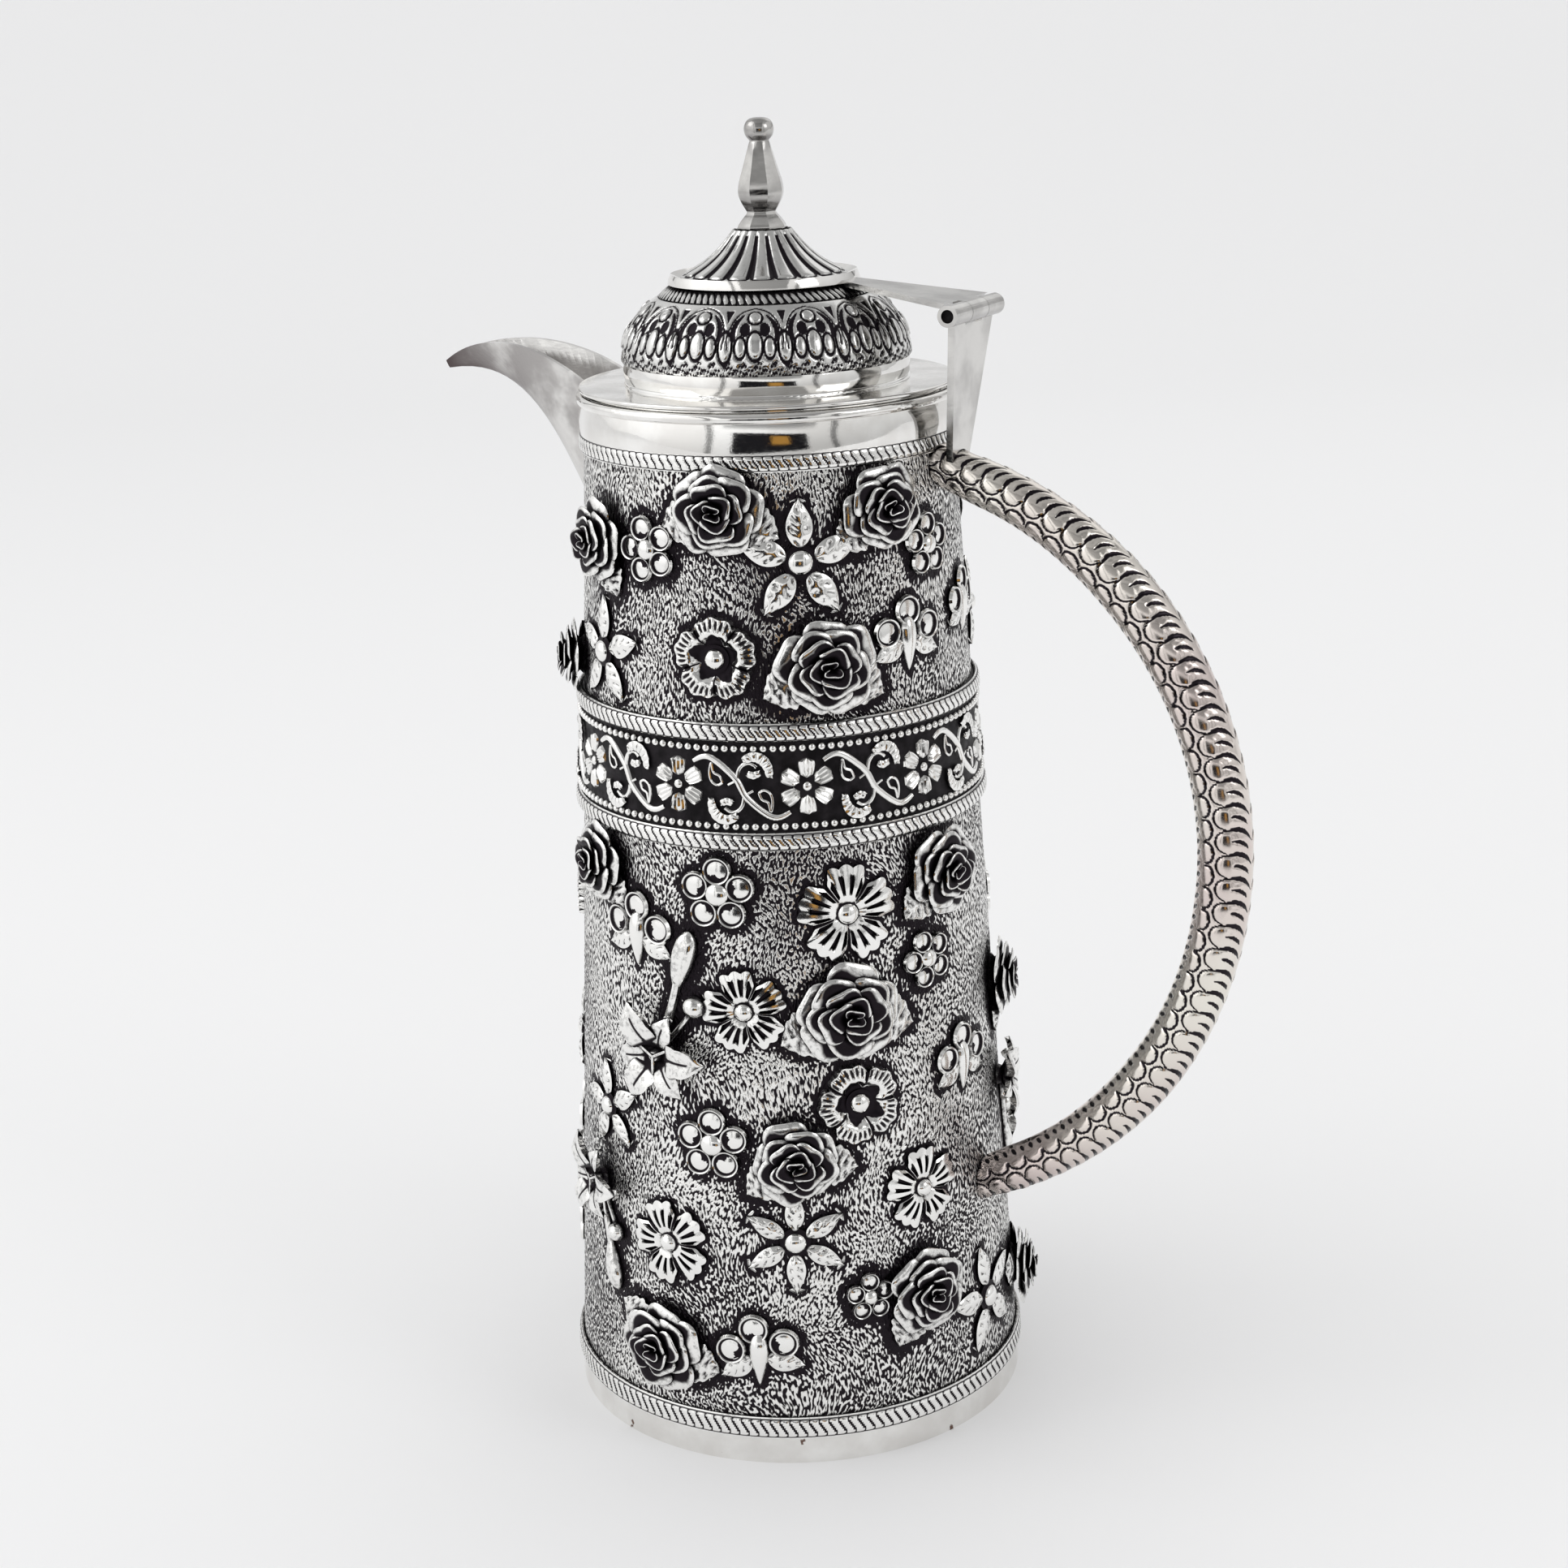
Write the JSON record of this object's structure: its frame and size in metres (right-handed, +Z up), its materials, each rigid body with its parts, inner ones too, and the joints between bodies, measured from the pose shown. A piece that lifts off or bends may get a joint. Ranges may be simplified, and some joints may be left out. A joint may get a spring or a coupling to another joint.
{
  "type": "coffee pot",
  "caption": "Tall tapering silver coffee pot with an open beak spout, a hooped side handle, applied flowers and a domed lid on a hinge at the handle.",
  "frame": {"origin": "centre of the flat bottom, on the surface that the pot stands on", "axes": "+Z up the pot's own axis, +X towards the handle, -X towards the spout"},
  "size_m": [0.1956, 0.1142, 0.2909],
  "materials": {
    "polished_silver": "polished silver, bright and lightly worn",
    "oxidised_silver": "stippled silver, darkened in the hollows and rubbed bright on the high points",
    "chased_silver": "chased silver with blackened grooves",
    "blackened_silver": "blackened silver ground",
    "handle_silver": "engraved silver with a faint warm tarnish"
  },
  "bodies": {
    "pot": {"body_shell": "oxidised_silver", "base_plate": "oxidised_silver", "foot_band": "polished_silver", "foot_rope": "chased_silver", "belt_strip": "blackened_silver", "belt_scrollwork": "chased_silver", "belt_lower_rope": "chased_silver", "belt_upper_rope": "chased_silver", "belt_lower_pearls": "chased_silver", "belt_upper_pearls": "chased_silver", "collar_rope": "chased_silver", "collar_band": "polished_silver", "rim_wire": "polished_silver", "spout": "polished_silver", "handle_grip": "handle_silver", "handle_upper_socket": "handle_silver", "handle_lower_socket": "handle_silver", "hinge_post": "polished_silver", "hinge_pin": "blackened_silver", "roses": "chased_silver", "daisies": "chased_silver", "poppies": "chased_silver", "round_blossoms": "chased_silver", "leaf_stars": "chased_silver", "bell_flowers": "chased_silver", "lilies": "chased_silver"},
    "lid": {"lid_strap": "polished_silver", "lid_flange": "polished_silver", "lid_sleeve": "chased_silver", "lid_neck": "polished_silver", "lid_dome": "chased_silver", "lid_rope_ring": "chased_silver", "lid_cone": "chased_silver", "finial": "polished_silver", "finial_nut": "blackened_silver"}
  },
  "joints": [
    {"name": "lid_hinge", "type": "hinge", "parent": "pot", "child": "lid", "pos_m": [0.0488, 0, 0.2514], "axis": [0, 1, 0], "range_deg": [0, 180]}
  ]
}
